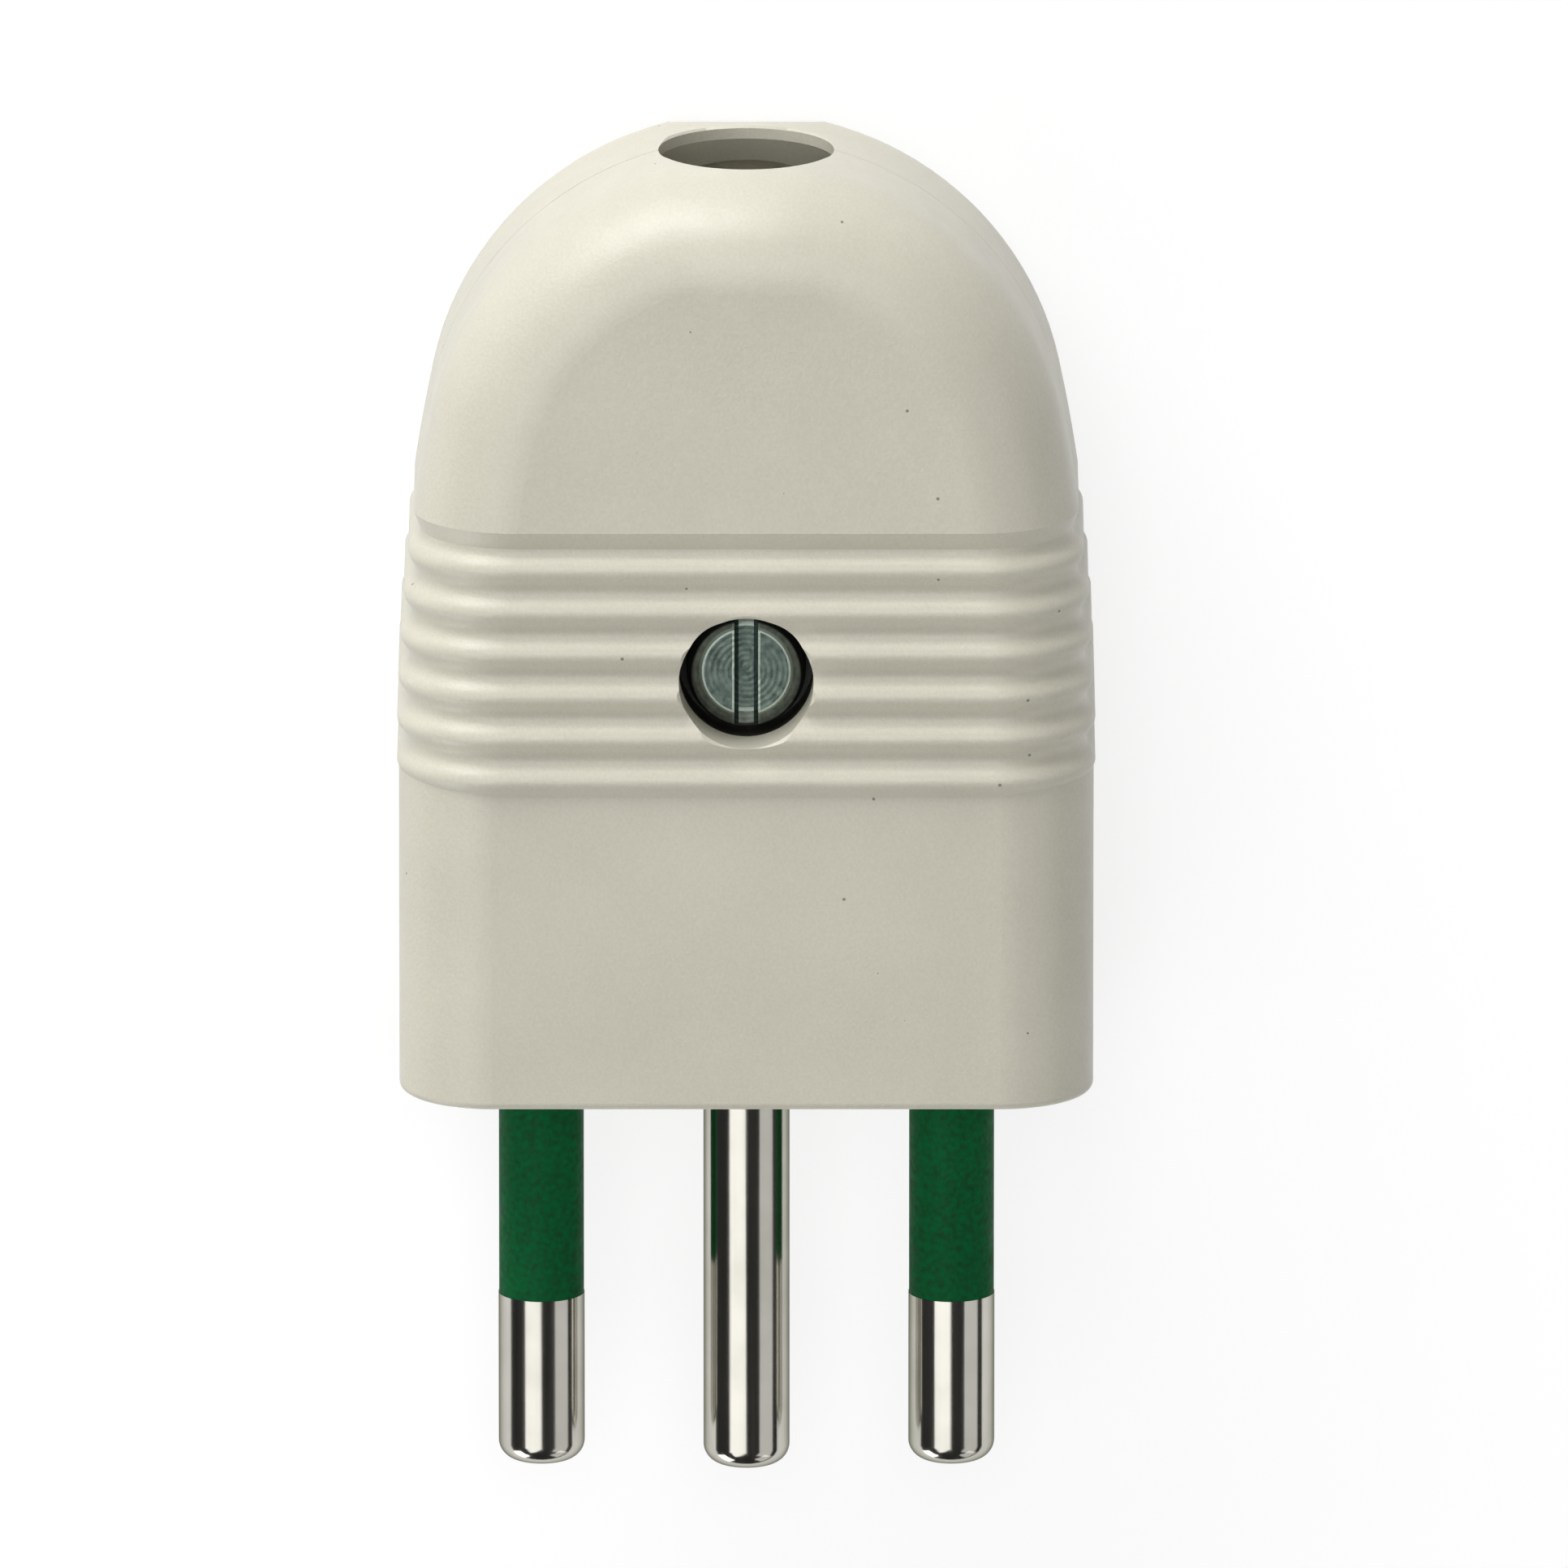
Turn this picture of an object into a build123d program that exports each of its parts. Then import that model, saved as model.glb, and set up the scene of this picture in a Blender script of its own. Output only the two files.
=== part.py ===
from build123d import *
import os
from math import asin, atan2, cos, sin, sqrt

# Three-pin mains plug, lying on its back, in millimetres.
# X runs across the row of pins, Y from the engagement face to the cord, Z from the rear face to the front.
# The origin is the middle of the engagement face. The halves part on Z = 0, the plane of the pin axes.

# Pins
PIN_PITCH = 9.5
PIN_RADIUS = 2.0
PIN_LENGTH = 19.0
EARTH_PIN_LEAD = 0.2
PIN_TIP_ROUND = 0.9
PIN_SEAT_STEP = 0.4
PIN_SEAT_RECESS = 0.05
COLLAR_STEP = 0.85
COLLAR_LENGTH = 1.5
SLEEVE_LENGTH = 11.0
SLEEVE_INSET = 0.03
SLEEVE_WALL = 0.47

# Terminal ends of the pins
TERMINAL_RADIUS = 3.2
TERMINAL_LENGTH = 10.0
TERMINAL_BEVEL = 0.4
TERMINAL_SIDE_ROOM = 1.2
WIRE_HOLE_RADIUS = 1.4
WIRE_HOLE_DEPTH = 7.5

# Clearances
SEAT_CLEARANCE = 0.05
THREAD_CLEARANCE = 0.05
SCREW_CLEARANCE = 0.2
AXIAL_CLEARANCE = 0.1
TERMINAL_GAP = 0.2
COVER_GAP = 0.3

# Housing walls
WALL = 2.2
OUTER_WEB = 2.0
INNER_WEB = 1.6
FUSE = 0.4

# Housing outline and edges
SIDE_RADIUS = 75.0
SHOULDER_BELOW_SCREW = 3.65
CROWN_CUT = 0.45
EDGE_RADIUS = 4.7
FOOT_ROUND = 0.35

# Grip ribs
RIB_COUNT = 6
RIB_PITCH = 2.0
RIBS_ABOVE_SCREW = 0.3
GROOVE_DEPTH = 0.46
GROOVE_BEVEL = 0.86
RIB_ROOT = 0.2
SKIRT_FACE_STEP = 0.42
SKIRT_SIDE_STEP = 0.08

# Parting joint
TONGUE_THICKNESS = 0.9
TONGUE_HEIGHT = 1.0
SEAM_DEPTH = 0.3
SEAM_GAP = 0.05

# Closing screw, its recess, washer and insert
CLOSING_BOSS_GAP = 0.55
RECESS_CLEARANCE = 0.35
RECESS_WALL = 1.4
RECESS_RIM = 0.15
HEAD_BELOW_FACE = 2.4
CLOSING_HEAD_RADIUS = 2.75
CLOSING_HEAD_HEIGHT = 2.0
CLOSING_HEAD_BEVEL_WIDTH = 0.7
CLOSING_HEAD_BEVEL = 0.5
CLOSING_SCREW_TIP_GAP = 1.0
CLOSING_SLOT_WIDTH = 1.1
CLOSING_SLOT_DEPTH = 0.9
SCREW_RADIUS = 1.45
SCREW_TIP_BEVEL = 0.4
WASHER_RADIUS = 2.7
WASHER_THICKNESS = 0.8
INSERT_RADIUS = 2.5
INSERT_WAIST = 0.4
INSERT_WAIST_LENGTH = 2.0
INSERT_LENGTH = 6.0
INSERT_DEPTH = 0.4

# Terminal screws
TERMINAL_HEAD_RADIUS = 1.9
TERMINAL_HEAD_HEIGHT = 1.6
TERMINAL_SCREW_TIP = 0.6
SMALL_SLOT_WIDTH = 0.8
SMALL_SLOT_DEPTH = 0.8
SMALL_HEAD_BEVEL = 0.25

# Cord entry and cord clamp
CORD_RADIUS = 3.5
CORD_CLEARANCE = 0.1
ENTRY_CLEARANCE = 0.55
ENTRY_LIP = 0.6
ENTRY_FLARE = 1.4
ENTRY_RIM = 0.1
THROAT_LENGTH = 8.4
WIRE_ROOM = 4.8
CLAMP_WIDTH = 5.5
CLAMP_THICKNESS = 2.4
CLAMP_BRIDGE = 1.0
CLAMP_SIDE_ROOM = 1.2
CLAMP_BOSS_RADIUS = 2.5
CLAMP_HEAD_RADIUS = 2.5
CLAMP_HEAD_HEIGHT = 1.9
CLAMP_SCREW_LENGTH = 8.0
SADDLE_LENGTH = 4.0
SADDLE_BELOW_PARTING = 1.0

# Ribs inside the shells that hold the pins
CRADLE_THICKNESS = 1.2
CRADLE_INSET = 1.6
CRADLE_BELOW_PARTING = 1.0
PARTITION_THICKNESS = 1.2
PARTITION_HEIGHT = 2.5
PAD_HALF_WIDTH = 2.2
PAD_LENGTH = 2.0
PAD_GAP = 1.7

# Places along the plug
collar_start = OUTER_WEB
collar_end = collar_start + COLLAR_LENGTH
end_wall = collar_end + AXIAL_CLEARANCE + INNER_WEB
terminal_start = end_wall + TERMINAL_GAP
terminal_end = terminal_start + TERMINAL_LENGTH
terminal_screw_y = terminal_end - WIRE_HOLE_DEPTH / 2
pad_end = terminal_screw_y - TERMINAL_HEAD_RADIUS - PAD_GAP
recess_radius = CLOSING_HEAD_RADIUS + RECESS_CLEARANCE
closing_boss_radius = recess_radius + RECESS_WALL
closing_y = terminal_end + CLOSING_BOSS_GAP + closing_boss_radius
clamp_y = closing_y + closing_boss_radius + WIRE_ROOM + CLAMP_WIDTH / 2
housing_length = clamp_y + CLAMP_WIDTH / 2 + THROAT_LENGTH
rib_start = closing_y + RIBS_ABOVE_SCREW - RIB_COUNT * RIB_PITCH / 2
rib_end = rib_start + RIB_COUNT * RIB_PITCH
shoulder_y = closing_y - SHOULDER_BELOW_SCREW

# Places across the plug and through its depth
pin_places = (-PIN_PITCH, 0, PIN_PITCH)
pin_seat_radius = PIN_RADIUS + PIN_SEAT_STEP
collar_radius = pin_seat_radius + COLLAR_STEP
sleeve_radius = PIN_RADIUS - SLEEVE_INSET
shank_radius = sleeve_radius - SLEEVE_WALL
half_width = PIN_PITCH + TERMINAL_RADIUS + TERMINAL_SIDE_ROOM + WALL
clamp_screw_x = CORD_RADIUS + CLAMP_SIDE_ROOM + CLAMP_BOSS_RADIUS
cord_groove_radius = CORD_RADIUS + CORD_CLEARANCE
clamp_top = cord_groove_radius + CLAMP_BRIDGE
clamp_seat = clamp_top - CLAMP_THICKNESS
ceiling = clamp_top + CLAMP_HEAD_HEIGHT + COVER_GAP
half_depth = ceiling + WALL
closing_seat = half_depth - HEAD_BELOW_FACE - CLOSING_HEAD_HEIGHT
closing_screw_length = closing_seat + INSERT_DEPTH + INSERT_LENGTH - CLOSING_SCREW_TIP_GAP
washer_recess = WASHER_THICKNESS + 2 * AXIAL_CLEARANCE
entry_radius = CORD_RADIUS + ENTRY_CLEARANCE

# The dome is the arc that touches both long side arcs and peaks at dome_top
dome_top = housing_length + CROWN_CUT
side_centre_x = half_width - SIDE_RADIUS
dome_centre_y = (side_centre_x**2 + shoulder_y**2 - (SIDE_RADIUS - dome_top) ** 2) / (
    2 * (SIDE_RADIUS - dome_top + shoulder_y)
)
shoulder_angle = atan2(dome_centre_y - shoulder_y, -side_centre_x)


def rod(radius, start, end, x=0.0):
    """Cylinder along Y on the parting plane."""
    cylinder = Cylinder(radius, end - start, align=(Align.CENTER, Align.CENTER, Align.MIN))
    return Pos(x, start, 0) * Rot(X=-90) * cylinder


def post(radius, bottom, top, x, y):
    """Cylinder along Z."""
    cylinder = Cylinder(radius, top - bottom, align=(Align.CENTER, Align.CENTER, Align.MIN))
    return Pos(x, y, bottom) * cylinder


def block(x_range, y_range, z_range):
    """Box between two corners."""
    size = [high - low for low, high in (x_range, y_range, z_range)]
    corner = Pos(x_range[0], y_range[0], z_range[0])
    return corner * Box(*size, align=(Align.MIN, Align.MIN, Align.MIN))


def slab(start, end):
    """Slice across the whole plug between two places along it."""
    return block((-2 * half_width, 2 * half_width), (start, end), (-2 * half_depth, 2 * half_depth))


def turned(steps):
    """Turned piece about Y from steps of start, end and radius."""
    points = [(0, steps[0][0])]
    for start, end, radius in steps:
        points += [(radius, start), (radius, end)]
    points.append((0, steps[-1][1]))
    return revolve(make_face(Polyline(points, close=True)), Axis.Y)


def side_x(y):
    """Half width of the housing at one place along it, below the dome."""
    if y <= shoulder_y:
        return half_width
    return side_centre_x + sqrt(SIDE_RADIUS**2 - (y - shoulder_y) ** 2)


def on_dome(inset, angle):
    """Point of the dome's arc, moved inwards, at an angle up from its right-hand end."""
    radius = dome_top - inset - dome_centre_y
    return (radius * cos(angle), dome_centre_y + radius * sin(angle))


def outline(inset, start, crown_cut):
    """Front outline moved inwards: straight sides, long side arcs and a dome, cut flat on top or whole."""
    side = SIDE_RADIUS - inset
    foot = (half_width - inset, start)
    shoulder = (half_width - inset, shoulder_y)
    middle = (side_centre_x + side * cos(shoulder_angle / 2), shoulder_y + side * sin(shoulder_angle / 2))
    join = on_dome(inset, shoulder_angle)
    crown_angle = asin(1 - crown_cut / (dome_top - inset - dome_centre_y))
    crown = on_dome(inset, crown_angle)
    flank = on_dome(inset, (shoulder_angle + crown_angle) / 2)
    right = [Line(foot, shoulder), ThreePointArc(shoulder, middle, join), ThreePointArc(join, flank, crown)]
    left = [mirror(edge, Plane.YZ) for edge in right]
    across = [Line(foot, (-foot[0], start))]
    if crown_cut > 0:
        across.append(Line(crown, (-crown[0], crown[1])))
    return make_face(right + left + across)


def blank(side_inset, face_inset, start, crown_cut):
    """Body of the outline before its edges are worked, and the edges of its front and rear faces."""
    height = half_depth - face_inset
    body = extrude(outline(side_inset, start, crown_cut), height, both=True)
    rims = body.edges().filter_by(lambda e: abs(abs(e.center().Z) - height) < FUSE)
    return body, rims.filter_by(lambda e: e.center().Y > start + FUSE)


def form(side_inset, face_inset, edge_radius):
    """Body of the outline with its front and rear edges rounded."""
    body, rims = blank(side_inset, face_inset, 0, CROWN_CUT)
    return fillet(rims, edge_radius)


def upper_housing():
    """Domed end, with a bevel down into the top rib."""
    sink = RIB_ROOT * GROOVE_BEVEL / GROOVE_DEPTH
    body = form(0, 0, EDGE_RADIUS) & slab(rib_end - sink, dome_top)
    foot = body.faces().sort_by(Axis.Y)[0]
    return chamfer(foot.edges(), GROOVE_DEPTH + RIB_ROOT, GROOVE_BEVEL + sink, reference=foot)


def skirt():
    """Plain lower body, a little inside the ribs, rounded where it meets the socket."""
    body = form(SKIRT_SIDE_STEP, SKIRT_FACE_STEP, EDGE_RADIUS - SKIRT_FACE_STEP)
    foot = body.faces().sort_by(Axis.Y)[0]
    return fillet(foot.edges(), FOOT_ROUND) & slab(0, rib_start + RIB_PITCH / 2)


def rib_inset(y):
    """Depth below the crests of the ribs: parabolas for crests and valleys, which meet at half depth."""
    from_crest = abs((y - rib_start) / RIB_PITCH % 1 - 0.5)
    if from_crest < 0.25:
        return 8 * GROOVE_DEPTH * from_crest**2
    return GROOVE_DEPTH - 8 * GROOVE_DEPTH * (0.5 - from_crest) ** 2


def rib_section(y):
    """Cross-section of the ribs at one place along the housing."""
    inset = rib_inset(y)
    width = 2 * (side_x(y) - inset)
    depth = 2 * (half_depth - inset)
    level = Plane((0, y, 0), x_dir=(1, 0, 0), z_dir=(0, -1, 0))
    return level * RectangleRounded(width, depth, EDGE_RADIUS - inset)


def ribs():
    """Waves that run right round the housing, one loft for each crest and each valley."""
    stops = [rib_start]
    stops += [rib_start + (index + 0.5) * RIB_PITCH / 2 for index in range(2 * RIB_COUNT)]
    stops.append(rib_end + RIB_ROOT)
    waves = Part()
    for low, high in zip(stops, stops[1:]):
        waves += loft([rib_section(y) for y in (low, (low + high) / 2, high)])
    return waves


def housing_body():
    """Outside of the two shells together, still solid."""
    return upper_housing() + skirt() + ribs()


def cavity():
    """Hollow inside the walls, bevelled along its front and rear edges."""
    hollow, rims = blank(WALL, WALL, end_wall, 0)
    return chamfer(rims, (EDGE_RADIUS - WALL) * (2 - sqrt(2)))


def cord_entry():
    """Round hole with a thin lip, flared open inside."""
    hole = rod(entry_radius, housing_length - ENTRY_LIP - FUSE, dome_top + WALL)
    flare_radius = entry_radius + ENTRY_FLARE
    inner_dome = dome_top - WALL - dome_centre_y
    flare_end = dome_centre_y + sqrt(inner_dome**2 - flare_radius**2) - FUSE
    flare_start = housing_length - ENTRY_LIP
    length = flare_start - flare_end
    flare = Cone(flare_radius, entry_radius, length, align=(Align.CENTER, Align.CENTER, Align.MIN))
    rim = Cone(entry_radius, entry_radius + 2 * ENTRY_RIM, 2 * ENTRY_RIM)
    entry = hole + Pos(0, flare_end, 0) * Rot(X=-90) * flare
    return entry + Pos(0, housing_length, 0) * Rot(X=-90) * rim


def pin_ways():
    """Holes and collar slots in the end wall, for the three pins."""
    ways = Part()
    for x in pin_places:
        ways += rod(pin_seat_radius + SEAT_CLEARANCE, -FUSE, collar_start + FUSE, x)
        ways += rod(collar_radius + SEAT_CLEARANCE, collar_start, collar_end + AXIAL_CLEARANCE, x)
        ways += rod(PIN_RADIUS + SEAT_CLEARANCE, collar_end, end_wall + FUSE, x)
    return ways


def tongue(gap):
    """Lip on the inner half of the rear wall, or with a gap the rebate that takes it."""
    ring = outline(WALL - TONGUE_THICKNESS - gap, end_wall, 0)
    if gap == 0:
        ring -= outline(WALL, end_wall, 0)
    lip = extrude(ring, TONGUE_HEIGHT + gap)
    return lip - rod(entry_radius + ENTRY_FLARE - gap, clamp_y + CLAMP_WIDTH / 2, dome_top)


def seam():
    """Shadow line round the outside of the parting."""
    outside = block((-2 * half_width, 2 * half_width), (-WALL, dome_top + WALL), (0, SEAM_GAP))
    return outside - extrude(outline(SEAM_DEPTH, SEAM_DEPTH, CROWN_CUT), 2 * SEAM_GAP)


def front_cover(body, hollow):
    """Front shell: recess for the closing screw, its boss, and pads over the pins."""
    cover = body & block(
        (-2 * half_width, 2 * half_width), (-WALL, dome_top + WALL), (0, 2 * half_depth)
    )
    cover -= hollow
    cover -= tongue(AXIAL_CLEARANCE)
    cover -= seam()
    cover += post(closing_boss_radius, 0, ceiling + FUSE, 0, closing_y)
    for x in pin_places:
        sides = (x - PAD_HALF_WIDTH, x + PAD_HALF_WIDTH)
        cover += block(sides, (pad_end - PAD_LENGTH, pad_end), (0, ceiling + FUSE))
        cover -= rod(TERMINAL_RADIUS + SEAT_CLEARANCE, end_wall, terminal_end, x)
    cover -= post(recess_radius, closing_seat, 2 * half_depth, 0, closing_y)
    rim = Cone(recess_radius, recess_radius + 2 * RECESS_RIM, 2 * RECESS_RIM)
    cover -= Pos(0, closing_y, half_depth) * rim
    cover -= post(SCREW_RADIUS + SCREW_CLEARANCE, -FUSE, half_depth, 0, closing_y)
    cover -= post(WASHER_RADIUS + SCREW_CLEARANCE, -FUSE, washer_recess, 0, closing_y)
    return cover - pin_ways() - cord_entry()


def insert_blank():
    """Turned outside of the threaded insert: two bands and a waist."""
    band = (INSERT_LENGTH - INSERT_WAIST_LENGTH) / 2
    waist_end = band + INSERT_WAIST_LENGTH
    steps = [
        (0, band, INSERT_RADIUS),
        (band, waist_end, INSERT_RADIUS - INSERT_WAIST),
        (waist_end, INSERT_LENGTH, INSERT_RADIUS),
    ]
    return Pos(0, closing_y, -INSERT_DEPTH) * Rot(X=-90) * turned(steps)


def rear_shell(body, hollow):
    """Rear shell: cradles and partitions for the pins, boss for the insert, seat for the cord clamp."""
    floor = -ceiling - FUSE
    shell = body & block(
        (-2 * half_width, 2 * half_width), (-WALL, dome_top + WALL), (-2 * half_depth, 0)
    )
    shell -= hollow
    shell += tongue(0)
    reach = PIN_PITCH + TERMINAL_RADIUS + TERMINAL_SIDE_ROOM / 2
    for start in (terminal_start + CRADLE_INSET, terminal_end - CRADLE_INSET - CRADLE_THICKNESS):
        shell += block((-reach, reach), (start, start + CRADLE_THICKNESS), (floor, -CRADLE_BELOW_PARTING))
    for x in (-PIN_PITCH / 2, PIN_PITCH / 2):
        sides = (x - PARTITION_THICKNESS / 2, x + PARTITION_THICKNESS / 2)
        shell += block(sides, (end_wall - FUSE, terminal_end), (floor, 0))
        shell += block(sides, (end_wall, terminal_end), (-FUSE, PARTITION_HEIGHT))
    shell += post(closing_boss_radius, floor, 0, 0, closing_y)
    saddle = (clamp_y - SADDLE_LENGTH / 2, clamp_y + SADDLE_LENGTH / 2)
    shell += block((-clamp_screw_x, clamp_screw_x), saddle, (floor, -SADDLE_BELOW_PARTING))
    for x in (-clamp_screw_x, clamp_screw_x):
        shell += post(CLAMP_BOSS_RADIUS, floor, clamp_seat, x, clamp_y)
    shell -= rod(cord_groove_radius, clamp_y - CLAMP_WIDTH, clamp_y + CLAMP_WIDTH)
    for x in (-clamp_screw_x, clamp_screw_x):
        bottom = clamp_top - CLAMP_SCREW_LENGTH - AXIAL_CLEARANCE
        shell -= post(SCREW_RADIUS + THREAD_CLEARANCE, bottom, half_depth, x, clamp_y)
    for x in pin_places:
        shell -= rod(TERMINAL_RADIUS + SEAT_CLEARANCE, end_wall, terminal_end, x)
    shell -= insert_blank()
    shell -= post(INSERT_RADIUS, -INSERT_DEPTH, FUSE, 0, closing_y)
    return shell - pin_ways() - cord_entry()


def terminal_end_of(pin, x):
    """Bore for the wire and cross hole for the screw, in the thick end of a pin."""
    rim = pin.edges().filter_by(GeomType.CIRCLE).sort_by(Axis.Y)[-1]
    pin = chamfer(rim, TERMINAL_BEVEL)
    pin = Pos(x, 0, 0) * pin
    pin -= rod(WIRE_HOLE_RADIUS, terminal_end - WIRE_HOLE_DEPTH, terminal_end + FUSE, x)
    return pin - post(SCREW_RADIUS + THREAD_CLEARANCE, 0, 2 * TERMINAL_RADIUS, x, terminal_screw_y)


def rounded_tip(pin):
    """Round the free end of a pin."""
    tip = pin.edges().filter_by(GeomType.CIRCLE).sort_by(Axis.Y)[0]
    return fillet(tip, PIN_TIP_ROUND)


def earth_pin():
    """Bare middle pin."""
    steps = [
        (-PIN_LENGTH - EARTH_PIN_LEAD, PIN_SEAT_RECESS, PIN_RADIUS),
        (PIN_SEAT_RECESS, collar_start, pin_seat_radius),
        (collar_start, collar_end, collar_radius),
        (collar_end, terminal_start, PIN_RADIUS),
        (terminal_start, terminal_end, TERMINAL_RADIUS),
    ]
    return terminal_end_of(rounded_tip(turned(steps)), 0)


def live_pin(x):
    """Outer pin, turned down along the length that its sleeve covers."""
    steps = [
        (-PIN_LENGTH, -SLEEVE_LENGTH, PIN_RADIUS),
        (-SLEEVE_LENGTH, collar_start, shank_radius),
        (collar_start, collar_end, collar_radius),
        (collar_end, terminal_start, PIN_RADIUS),
        (terminal_start, terminal_end, TERMINAL_RADIUS),
    ]
    return terminal_end_of(rounded_tip(turned(steps)), x)


def sleeve(x):
    """Insulating sleeve, moulded on with a thicker root inside the end wall."""
    steps = [
        (-SLEEVE_LENGTH, PIN_SEAT_RECESS, sleeve_radius),
        (PIN_SEAT_RECESS, collar_start, pin_seat_radius),
    ]
    tube = turned(steps) - rod(shank_radius, -2 * SLEEVE_LENGTH, 2 * collar_start)
    return Pos(x, 0, 0) * tube


def slotted_screw(head_radius, head_height, disc_radius, bevel, length, slot_width, slot_depth):
    """Cheese-head screw, head up, with the underside of its head at Z = 0."""
    profile = Polyline(
        (0, -length),
        (SCREW_RADIUS - SCREW_TIP_BEVEL, -length),
        (SCREW_RADIUS, -length + SCREW_TIP_BEVEL),
        (SCREW_RADIUS, 0),
        (head_radius, 0),
        (head_radius, head_height - bevel),
        (disc_radius, head_height),
        (0, head_height),
        close=True,
    )
    screw = Rot(X=90) * revolve(make_face(profile), Axis.Y)
    reach = 2 * head_radius
    slot_bottom = head_height - slot_depth
    return screw - block((-slot_width / 2, slot_width / 2), (-reach, reach), (slot_bottom, 2 * head_height))


def closing_screw():
    """Screw that closes the housing."""
    screw = slotted_screw(
        CLOSING_HEAD_RADIUS,
        CLOSING_HEAD_HEIGHT,
        CLOSING_HEAD_RADIUS - CLOSING_HEAD_BEVEL_WIDTH,
        CLOSING_HEAD_BEVEL,
        closing_screw_length,
        CLOSING_SLOT_WIDTH,
        CLOSING_SLOT_DEPTH,
    )
    return Pos(0, closing_y, closing_seat) * screw


def closing_screw_washer():
    """Fibre washer gripped on the screw, in its recess under the cover."""
    washer = post(WASHER_RADIUS, AXIAL_CLEARANCE, AXIAL_CLEARANCE + WASHER_THICKNESS, 0, closing_y)
    return washer - post(SCREW_RADIUS, 0, washer_recess, 0, closing_y)


def threaded_insert():
    """Brass nut moulded into the rear boss."""
    bore = post(SCREW_RADIUS + THREAD_CLEARANCE, -2 * half_depth, half_depth, 0, closing_y)
    return insert_blank() - bore


def small_screw(head_radius, head_height, length):
    """Slotted screw of the terminals and the cord clamp."""
    disc_radius = head_radius - SMALL_HEAD_BEVEL
    return slotted_screw(
        head_radius, head_height, disc_radius, SMALL_HEAD_BEVEL, length, SMALL_SLOT_WIDTH, SMALL_SLOT_DEPTH
    )


def terminal_screws():
    """One screw across each wire hole."""
    seat = TERMINAL_RADIUS + TERMINAL_GAP
    screw = small_screw(TERMINAL_HEAD_RADIUS, TERMINAL_HEAD_HEIGHT, seat - TERMINAL_SCREW_TIP)
    return [Pos(x, terminal_screw_y, seat) * screw for x in pin_places]


def cord_clamp_bar():
    """Bar over the cord, hollowed to its curve."""
    plate = SlotOverall(2 * (clamp_screw_x + CLAMP_BOSS_RADIUS), CLAMP_WIDTH)
    bar = Pos(0, clamp_y, clamp_seat) * extrude(plate, CLAMP_THICKNESS)
    bar -= rod(cord_groove_radius, clamp_y - CLAMP_WIDTH, clamp_y + CLAMP_WIDTH)
    for x in (-clamp_screw_x, clamp_screw_x):
        bar -= post(SCREW_RADIUS + SCREW_CLEARANCE, 0, half_depth, x, clamp_y)
    return bar


def cord_clamp_screws():
    """The two screws of the cord clamp."""
    screw = small_screw(CLAMP_HEAD_RADIUS, CLAMP_HEAD_HEIGHT, CLAMP_SCREW_LENGTH)
    return [Pos(x, clamp_y, clamp_top) * screw for x in (-clamp_screw_x, clamp_screw_x)]


body = housing_body()
hollow = cavity()
nodes = {
    "front_cover": [front_cover(body, hollow)],
    "rear_shell": [rear_shell(body, hollow)],
    "line_pin": [live_pin(PIN_PITCH)],
    "neutral_pin": [live_pin(-PIN_PITCH)],
    "earth_pin": [earth_pin()],
    "line_pin_sleeve": [sleeve(PIN_PITCH)],
    "neutral_pin_sleeve": [sleeve(-PIN_PITCH)],
    "terminal_screws": terminal_screws(),
    "closing_screw": [closing_screw()],
    "closing_screw_washer": [closing_screw_washer()],
    "threaded_insert": [threaded_insert()],
    "cord_clamp_bar": [cord_clamp_bar()],
    "cord_clamp_screws": cord_clamp_screws(),
}

os.makedirs("parts", exist_ok=True)
for name, pieces in nodes.items():
    solids = [solid for piece in pieces for solid in piece.solids()]
    export_step(Compound(children=solids), f"parts/{name}.step")
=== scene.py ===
import math
import bpy
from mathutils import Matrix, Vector


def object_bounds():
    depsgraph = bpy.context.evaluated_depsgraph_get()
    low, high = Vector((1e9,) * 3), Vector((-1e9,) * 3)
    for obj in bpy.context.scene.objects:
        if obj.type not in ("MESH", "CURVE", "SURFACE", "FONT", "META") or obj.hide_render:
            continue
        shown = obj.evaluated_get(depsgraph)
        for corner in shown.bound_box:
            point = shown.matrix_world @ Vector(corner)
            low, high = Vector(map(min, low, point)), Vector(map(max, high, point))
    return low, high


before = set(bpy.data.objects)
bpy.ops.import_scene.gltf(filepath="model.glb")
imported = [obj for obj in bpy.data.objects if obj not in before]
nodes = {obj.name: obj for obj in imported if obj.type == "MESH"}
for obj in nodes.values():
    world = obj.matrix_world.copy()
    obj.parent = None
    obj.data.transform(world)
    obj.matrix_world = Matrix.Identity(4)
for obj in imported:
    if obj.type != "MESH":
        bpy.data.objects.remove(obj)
cad_low, cad_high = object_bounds()
scene = bpy.context.scene
scene.view_settings.view_transform = "Standard"

MM = 0.001

# Dome of the housing: the middle of its arc, and the place along the plug from which its crown is smoothed
DOME_CENTRE = 29.2 * MM
CROWN_FROM = 36.0 * MM

# Least agreement with the dome's own direction for a face there to count as the outside
CROWN_OUTSIDE = 0.85

# Closing screw: its place along the plug, half of its slot, the edge of its flat top and the width of its
# edge marks, among them worn edges with a painted highlight
SCREW_Y = 20.45 * MM
SLOT_HALF = 0.55 * MM
SCREW_DISC = 2.05 * MM
EDGE_MARK_WIDTH = 0.10 * MM

# Turning marks on the closing screw, in radians of wave per metre of radius
TURNING_RATE = 24000

# Painted shade round the closing screw: a painted shadow on the rim of its head, set off towards the pins,
# and painted shade in the gap beside it
RIM_SHADOW_FROM = 2.45 * MM
RIM_SHADOW_OFF_CENTRE = 0.2 * MM
GAP_SHADE_RADIUS = 3.2 * MM
GAP_SHADE_LOW = 4.4 * MM
GAP_SHADE_HIGH = 6.6 * MM

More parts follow.
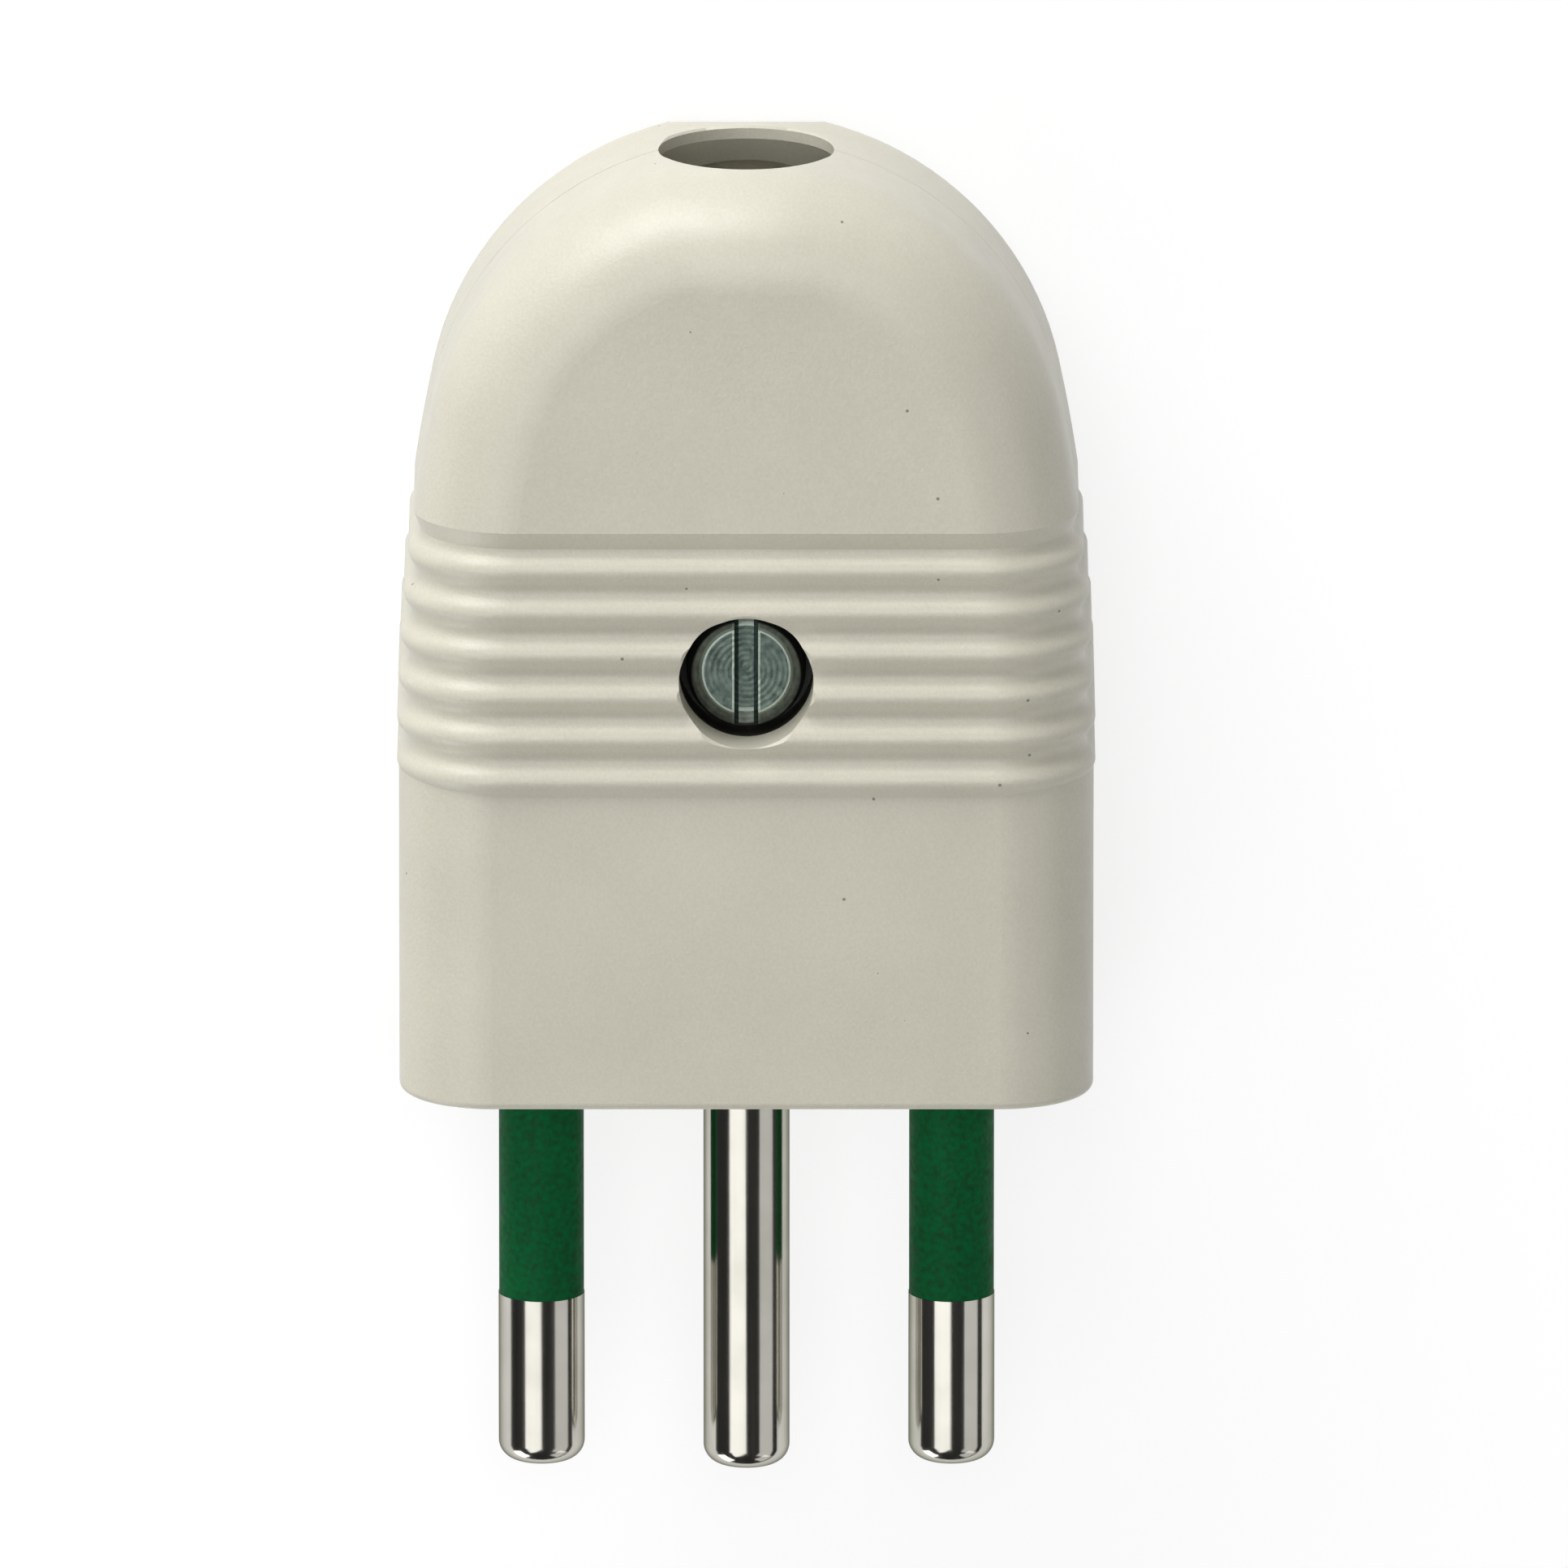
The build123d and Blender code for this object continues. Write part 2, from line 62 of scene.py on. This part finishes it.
# Colours, as linear red, green and blue
IVORY_DARK = (0.592, 0.571, 0.474)
IVORY_LIGHT = (0.676, 0.652, 0.545)
IVORY_SPECK = (0.27, 0.24, 0.19)
# Painted shade in the gap between the closing screw's head and its recess
GAP_PAINTED_SHADE = (0.022, 0.020, 0.016)
NICKEL = (0.60, 0.58, 0.53)
NICKEL_TARNISHED = (0.51, 0.50, 0.44)
NICKEL_EDGE_TINT = (0.28, 0.29, 0.25)
SLEEVE_GREEN = (0.000, 0.118, 0.032)
SLEEVE_DARK = (0.006, 0.066, 0.020)
SCREW_TOP = (0.18, 0.235, 0.205)
SCREW_TOP_DARK = (0.085, 0.115, 0.10)
# The screw's bevel is lighter than its top: a painted reflection of the lit recess wall
BEVEL_PAINTED_REFLECTION = (0.36, 0.40, 0.35)
BEVEL_PAINTED_REFLECTION_DARK = (0.22, 0.25, 0.22)
# Worn edges of the closing screw, lightened further as a painted highlight
SCREW_WEAR_AND_HIGHLIGHT = (0.42, 0.49, 0.43)
# Darker bands along the inside of the slot's sides
SLOT_SIDE_DARK = (0.03, 0.045, 0.04)
# Painted shadow of the recess's upper rim on the screw head's rim
RIM_PAINTED_SHADOW = (0.02, 0.022, 0.02)
ZINC = (0.30, 0.37, 0.33)
ZINC_DARK = (0.20, 0.25, 0.22)
BRASS = (0.70, 0.50, 0.20)
BRASS_DARK = (0.58, 0.40, 0.15)
FIBRE = (0.24, 0.07, 0.04)
FIBRE_DARK = (0.16, 0.05, 0.03)
FLOOR_GREY = (0.8, 0.8, 0.8)
WHITE = (1.0, 1.0, 1.0)

# Depths of bump
IVORY_GRAIN = 0.014 * MM
DRAWN_LINES = 0.001 * MM
SLEEVE_GRAIN = 0.006 * MM
TURNED_MARKS = 0.012 * MM
TOOL_MARKS = 0.006 * MM
FIBRE_GRAIN = 0.01 * MM

# Parts of a noise's range that are spread over the whole of a change: even, in patches, or in few patches
EVEN = (0.3, 0.7)
PATCHY = (0.35, 0.7)
SPARSE = (0.35, 0.75)

# Camera: the photograph looks down on the front face from the cord end, through a long lens
CAMERA_TILT = 15.0
CAMERA_DISTANCE = 2.0
CAMERA_REACH = 20.0
FRAME_WIDTH = 72.47 * MM
AIM = Vector((1.74, 13.31, 0.0)) * MM

# Softboxes: name, degrees to the right and towards the cord, distance, width, height, brightness
SOFTBOXES = (
    ("key", -50, 63, 0.60, 0.50, 0.34, 5.1),
    ("front_fill", 0, 15, 1.20, 0.60, 0.60, 2.75),
    ("pin_strip", -25.5, -15, 0.60, 0.45, 0.40, 1.25),
    ("pin_card", 55.5, -15, 0.60, 0.57, 0.40, 0.6),
    ("left_kicker", -80, -50, 0.60, 0.30, 0.30, 3.3),
    ("right_kicker", 60, -50, 0.60, 0.30, 0.30, 0.6),
)

# Watts per square metre of a softbox of brightness 1
LAMP_POWER = 4
WORLD_LEVEL = 0.03

FLOOR_SIZE = 6.0
FLOOR_SHARE_OF_LIGHT = 0.35
FLOOR_GLOW = 0.78


def opaque(colour):
    """Colour with full alpha, as sockets take it."""
    return (*colour, 1.0)


def towards(right, up):
    """Direction from the plug, in degrees from its front face, to the right and towards the cord."""
    right, up = math.radians(right), math.radians(up)
    return Vector((math.sin(right) * math.cos(up), math.sin(up), math.cos(right) * math.cos(up)))


def facing(obj, direction, distance):
    """Place an object out in a direction, turned to face the middle of the plug."""
    obj.location = AIM + direction * distance
    obj.rotation_mode = "QUATERNION"
    obj.rotation_quaternion = direction.to_track_quat("Z", "Y")


def link(obj):
    """Put an object in the scene."""
    scene.collection.objects.link(obj)
    return obj


class Nodes:
    """Short names for building one material's nodes."""

    def __init__(self, name):
        self.material = bpy.data.materials.new(name)
        self.material.use_nodes = True
        self.tree = self.material.node_tree
        self.shader = self.tree.nodes["Principled BSDF"]
        coordinates = self.tree.nodes.new("ShaderNodeTexCoord").outputs
        self.place = coordinates["Object"]
        self.normal = coordinates["Normal"]

    def set(self, **values):
        """Constant values on the shader's own sockets."""
        for name, value in values.items():
            self.shader.inputs[name.replace("_", " ")].default_value = value

    def join(self, output, socket):
        self.tree.links.new(output, socket)

    def feed(self, output, socket_name):
        """Join an output to one of the shader's sockets."""
        self.join(output, self.shader.inputs[socket_name])

    def stretched(self, scale):
        """Object coordinates stretched along the axes."""
        node = self.tree.nodes.new("ShaderNodeMapping")
        node.inputs["Scale"].default_value = scale
        self.join(self.place, node.inputs["Vector"])
        return node.outputs["Vector"]

    def noise(self, scale, detail, place=None):
        node = self.tree.nodes.new("ShaderNodeTexNoise")
        node.inputs["Scale"].default_value = scale
        node.inputs["Detail"].default_value = detail
        self.join(place or self.place, node.inputs["Vector"])
        return node.outputs["Fac"]

    def mapped(self, value, span, low, high):
        """Spread a span of a value over another range, and hold the ends."""
        node = self.tree.nodes.new("ShaderNodeMapRange")
        limits = {"From Min": span[0], "From Max": span[1], "To Min": low, "To Max": high}
        for name, number in limits.items():
            node.inputs[name].default_value = number
        self.join(value, node.inputs["Value"])
        return node.outputs["Result"]

    def blend(self, share, first, second):
        """Colour between two, each a colour or an output."""
        node = self.tree.nodes.new("ShaderNodeMix")
        node.data_type = "RGBA"
        self.join(share, node.inputs[0])
        for socket, colour in ((node.inputs[6], first), (node.inputs[7], second)):
            if isinstance(colour, tuple):
                socket.default_value = opaque(colour)
            else:
                self.join(colour, socket)
        return node.outputs[2]

    def mixed(self, share, first, second):
        """Number between two."""
        node = self.tree.nodes.new("ShaderNodeMix")
        for value, index in ((share, 0), (first, 2), (second, 3)):
            self.join(value, node.inputs[index])
        return node.outputs[0]

    def math(self, operation, *values):
        """Result of one operation on numbers or outputs."""
        node = self.tree.nodes.new("ShaderNodeMath")
        node.operation = operation
        for socket, value in zip(node.inputs, values):
            if isinstance(value, (int, float)):
                socket.default_value = value
            else:
                self.join(value, socket)
        return node.outputs[0]

    def times(self, first, second):
        return self.math("MULTIPLY", first, second)

    def length(self, first, second):
        """Length of the slant over two sides."""
        return self.math("SQRT", self.math("ADD", self.times(first, first), self.times(second, second)))

    def band(self, value, low, high):
        """1 where a value lies between two others, and 0 elsewhere."""
        above = self.math("GREATER_THAN", value, low)
        return self.times(above, self.math("LESS_THAN", value, high))

    def split(self, vector):
        node = self.tree.nodes.new("ShaderNodeSeparateXYZ")
        self.join(vector, node.inputs[0])
        return node.outputs

    def from_axis(self, centre_y):
        """Places across and along the plug from a line through its depth, and the distance from it."""
        x, y, _ = self.split(self.place)
        up = self.math("SUBTRACT", y, centre_y)
        return x, up, self.length(x, up)

    def direction(self, *parts):
        """World direction from its three parts in the object's own frame."""
        vector = self.tree.nodes.new("ShaderNodeCombineXYZ")
        for part, socket in zip(parts, vector.inputs):
            self.join(part, socket)
        turn = self.tree.nodes.new("ShaderNodeVectorTransform")
        turn.vector_type = "NORMAL"
        turn.convert_from = "OBJECT"
        turn.convert_to = "WORLD"
        self.join(vector.outputs[0], turn.inputs[0])
        return turn.outputs[0]

    def bump(self, height, depth, normal=None):
        """Bump of a given depth in metres for a height that runs from 0 to 1."""
        node = self.tree.nodes.new("ShaderNodeBump")
        node.inputs["Strength"].default_value = 1.0
        node.inputs["Distance"].default_value = depth
        self.join(height, node.inputs["Height"])
        if normal is not None:
            self.join(normal, node.inputs["Normal"])
        return node.outputs["Normal"]

    def specks(self, scale, size, share):
        """Sparse round specks: 1 on a speck and 0 elsewhere."""
        node = self.tree.nodes.new("ShaderNodeTexVoronoi")
        node.inputs["Scale"].default_value = scale
        self.join(self.place, node.inputs["Vector"])
        near = self.math("LESS_THAN", node.outputs["Distance"], size)
        split = self.tree.nodes.new("ShaderNodeSeparateColor")
        self.join(node.outputs["Color"], split.inputs[0])
        chosen = self.math("LESS_THAN", split.outputs[0], share)
        return self.times(near, chosen)


def domed_normal(n):
    """Normals of one whole dome, which smooth the two slight corners of its flat crown."""
    x, up, reach = n.from_axis(DOME_CENTRE)
    across, along, front = n.split(n.normal)
    dome_x = n.math("DIVIDE", x, reach)
    dome_y = n.math("DIVIDE", up, reach)
    sideways = n.math("SQRT", n.math("SUBTRACT", 1, n.times(front, front)))
    agree = n.math("ADD", n.times(across, dome_x), n.times(along, dome_y))
    outside = n.math("GREATER_THAN", agree, n.times(sideways, CROWN_OUTSIDE))
    share = n.times(outside, n.math("GREATER_THAN", up, CROWN_FROM - DOME_CENTRE))
    smooth_x = n.mixed(share, across, n.times(dome_x, sideways))
    smooth_y = n.mixed(share, along, n.times(dome_y, sideways))
    return n.direction(smooth_x, smooth_y, front)


def housing_plastic():
    """Ivory moulded plastic with a fine matt grain, faint mottling, a few specks and painted shade in the
    gap by the screw.
    """
    n = Nodes("housing_plastic")
    mottle = n.mapped(n.noise(scale=140, detail=3.0), EVEN, 0.0, 0.5)
    grain = n.noise(scale=6500, detail=2.0)
    shade = n.math("ADD", mottle, n.mapped(grain, EVEN, 0.0, 0.5))
    colour = n.blend(shade, IVORY_DARK, IVORY_LIGHT)
    colour = n.blend(n.specks(scale=700, size=0.055, share=0.25), colour, IVORY_SPECK)
    _, _, from_screw = n.from_axis(SCREW_Y)
    _, _, z = n.split(n.place)
    near_screw = n.math("LESS_THAN", from_screw, GAP_SHADE_RADIUS)
    # Painted shade: the plastic darkens in the recess gap beside the screw head
    painted_gap_shade = n.times(near_screw, n.band(z, GAP_SHADE_LOW, GAP_SHADE_HIGH))
    n.feed(n.blend(painted_gap_shade, colour, GAP_PAINTED_SHADE), "Base Color")
    n.feed(n.mapped(n.noise(scale=900, detail=2.0), EVEN, 0.35, 0.43), "Roughness")
    n.feed(n.bump(grain, IVORY_GRAIN, domed_normal(n)), "Normal")
    n.set(Specular_IOR_Level=0.5)
    return n.material


def pin_nickel():
    """Bright nickel plate with faint lines drawn along the pin."""
    n = Nodes("pin_nickel")
    lines = n.noise(scale=1.0, detail=3.0, place=n.stretched((5000, 60, 5000)))
    tarnish = n.mapped(n.noise(scale=350, detail=4.0), SPARSE, 0.0, 1.0)
    n.feed(n.blend(tarnish, NICKEL, NICKEL_TARNISHED), "Base Color")
    n.feed(n.mapped(lines, EVEN, 0.10, 0.18), "Roughness")
    n.feed(n.bump(lines, DRAWN_LINES), "Normal")
    n.set(Metallic=1.0, Specular_Tint=opaque(NICKEL_EDGE_TINT))
    return n.material


def sleeve_plastic():
    """Dark green insulating sleeve with a dry, slightly grainy skin."""
    n = Nodes("sleeve_plastic")
    mottle = n.mapped(n.noise(scale=3500, detail=3.0), PATCHY, 0.0, 1.0)
    n.feed(n.blend(mottle, SLEEVE_GREEN, SLEEVE_DARK), "Base Color")
    n.feed(n.mapped(n.noise(scale=1200, detail=2.0), EVEN, 0.50, 0.65), "Roughness")
    n.feed(n.bump(n.noise(scale=7000, detail=2.0), SLEEVE_GRAIN), "Normal")
    n.set(Specular_IOR_Level=0.08)
    return n.material


def closing_screw_zinc():
    """Dark passivated zinc with turning marks, worn edges with a painted highlight, a bevel lightened as a
    painted reflection, darker bands along the slot's sides and a painted shadow on its rim.
    """
    n = Nodes("closing_screw_zinc")
    x, _, radius = n.from_axis(SCREW_Y)
    # Distance from a centre set off towards the pins, for the painted shadow on the rim
    _, _, shadow_radius = n.from_axis(SCREW_Y - RIM_SHADOW_OFF_CENTRE)
    off = n.math("ABSOLUTE", x)
    patches = n.mapped(n.noise(scale=2600, detail=4.0), PATCHY, 0.0, 1.0)
    disc = n.blend(patches, SCREW_TOP, SCREW_TOP_DARK)
    # The bevel's lighter colour is a painted reflection of the lit recess wall
    bevel_reflection = n.blend(patches, BEVEL_PAINTED_REFLECTION, BEVEL_PAINTED_REFLECTION_DARK)
    colour = n.blend(n.math("GREATER_THAN", radius, SCREW_DISC), disc, bevel_reflection)
    slot_edge = n.band(off, SLOT_HALF, SLOT_HALF + EDGE_MARK_WIDTH)
    disc_edge = n.band(radius, SCREW_DISC - EDGE_MARK_WIDTH, SCREW_DISC + EDGE_MARK_WIDTH)
    # Worn slot and disc edges, lightened further as a painted highlight
    colour = n.blend(n.math("MAXIMUM", slot_edge, disc_edge), colour, SCREW_WEAR_AND_HIGHLIGHT)
    # Darker bands along the inside of the slot's sides
    colour = n.blend(n.band(off, SLOT_HALF - 2 * EDGE_MARK_WIDTH, SLOT_HALF), colour, SLOT_SIDE_DARK)
    # Painted shadow on the head's rim, cast by the recess's upper rim and so set off towards the pins
    painted_rim_shadow = n.mapped(shadow_radius, (RIM_SHADOW_FROM, RIM_SHADOW_FROM + EDGE_MARK_WIDTH), 0.0, 1.0)
    n.feed(n.blend(painted_rim_shadow, colour, RIM_PAINTED_SHADOW), "Base Color")
    n.feed(n.mapped(radius, (SCREW_DISC, SCREW_DISC + EDGE_MARK_WIDTH), 0.42, 0.62), "Roughness")
    turning = n.math("SINE", n.times(radius, TURNING_RATE))
    pits = n.mapped(n.noise(scale=4000, detail=3.0), EVEN, 0.0, 0.5)
    marks = n.math("ADD", n.mapped(turning, (-1.0, 1.0), 0.0, 0.5), pits)
    n.feed(n.bump(marks, TURNED_MARKS), "Normal")
    n.set(Metallic=1.0)
    return n.material


def screw_zinc():
    """Dull passivated zinc with a slight green cast and tool marks."""
    n = Nodes("screw_zinc")
    patches = n.mapped(n.noise(scale=1800, detail=4.0), PATCHY, 0.0, 1.0)
    n.feed(n.blend(patches, ZINC, ZINC_DARK), "Base Color")
    n.feed(n.mapped(n.noise(scale=2500, detail=3.0), EVEN, 0.34, 0.52), "Roughness")
    n.feed(n.bump(n.noise(scale=4000, detail=3.0), TOOL_MARKS), "Normal")
    n.set(Metallic=1.0)
    return n.material


def insert_brass():
    """Turned brass."""
    n = Nodes("insert_brass")
    patches = n.mapped(n.noise(scale=1500, detail=3.0), PATCHY, 0.0, 1.0)
    n.feed(n.blend(patches, BRASS, BRASS_DARK), "Base Color")
    n.feed(n.mapped(n.noise(scale=3000, detail=2.0), EVEN, 0.25, 0.40), "Roughness")
    n.set(Metallic=1.0)
    return n.material


def washer_fibre():
    """Red-brown vulcanised fibre."""
    n = Nodes("washer_fibre")
    fibres = n.mapped(n.noise(scale=2500, detail=4.0), EVEN, 0.0, 1.0)
    n.feed(n.blend(fibres, FIBRE, FIBRE_DARK), "Base Color")
    n.feed(n.mapped(n.noise(scale=3000, detail=2.0), EVEN, 0.65, 0.80), "Roughness")
    n.feed(n.bump(fibres, FIBRE_GRAIN), "Normal")
    return n.material


def floor_paper():
    """White paper floor: seen directly or in a reflection it is nearly white, and it keeps the shadow."""
    n = Nodes("floor_paper")
    n.set(Base_Color=opaque(FLOOR_GREY), Roughness=1.0, Specular_IOR_Level=0.0)
    path = n.tree.nodes.new("ShaderNodeLightPath")
    seen = n.math("MAXIMUM", path.outputs["Is Camera Ray"], path.outputs["Is Glossy Ray"])
    seen = n.math("MAXIMUM", seen, path.outputs["Is Transmission Ray"])
    soft = n.tree.nodes.new("ShaderNodeMixShader")
    glow = n.tree.nodes.new("ShaderNodeEmission")
    glow.inputs["Strength"].default_value = FLOOR_GLOW / (1 - FLOOR_SHARE_OF_LIGHT)
    n.join(n.times(seen, 1 - FLOOR_SHARE_OF_LIGHT), soft.inputs["Fac"])
    n.join(n.shader.outputs["BSDF"], soft.inputs[1])
    n.join(glow.outputs["Emission"], soft.inputs[2])
    n.join(soft.outputs["Shader"], n.tree.nodes["Material Output"].inputs["Surface"])
    return n.material


def dress(material, *names):
    """Give a material to CAD nodes."""
    for name in names:
        nodes[name].data.materials[0] = material


def surroundings():
    """Dim white world."""
    world = bpy.data.worlds.new("studio")
    world.use_nodes = True
    background = world.node_tree.nodes["Background"]
    background.inputs["Color"].default_value = opaque(WHITE)
    background.inputs["Strength"].default_value = WORLD_LEVEL
    scene.world = world


def softboxes():
    """Rectangular lamps that face the plug."""
    for name, right, up, distance, width, height, brightness in SOFTBOXES:
        light = bpy.data.lights.new(name, "AREA")
        light.shape = "RECTANGLE"
        light.size = width
        light.size_y = height
        light.energy = LAMP_POWER * width * height * brightness
        facing(link(bpy.data.objects.new(name, light)), towards(right, up), distance)


def studio_floor():
    """Square floor at the level of the plug's underside."""
    mesh = bpy.data.meshes.new("floor")
    half = FLOOR_SIZE / 2
    corners = [(-half, -half, 0), (half, -half, 0), (half, half, 0), (-half, half, 0)]
    mesh.from_pydata(corners, [], [(0, 1, 2, 3)])
    mesh.materials.append(floor_paper())
    floor = link(bpy.data.objects.new("floor", mesh))
    floor.location = (0.0, 0.0, cad_low.z)


def camera():
    """Camera at the photograph's viewing angle."""
    data = bpy.data.cameras.new("camera")
    data.lens = data.sensor_width * CAMERA_DISTANCE / FRAME_WIDTH
    data.clip_end = CAMERA_REACH
    obj = link(bpy.data.objects.new("camera", data))
    obj.location = AIM + towards(0, CAMERA_TILT) * CAMERA_DISTANCE
    obj.rotation_euler = (math.radians(-CAMERA_TILT), 0.0, 0.0)
    scene.camera = obj


dress(housing_plastic(), "front_cover", "rear_shell", "cord_clamp_bar")
dress(pin_nickel(), "line_pin", "neutral_pin", "earth_pin")
dress(sleeve_plastic(), "line_pin_sleeve", "neutral_pin_sleeve")
dress(closing_screw_zinc(), "closing_screw")
dress(screw_zinc(), "terminal_screws", "cord_clamp_screws")
dress(insert_brass(), "threaded_insert")
dress(washer_fibre(), "closing_screw_washer")
surroundings()
softboxes()
studio_floor()
camera()
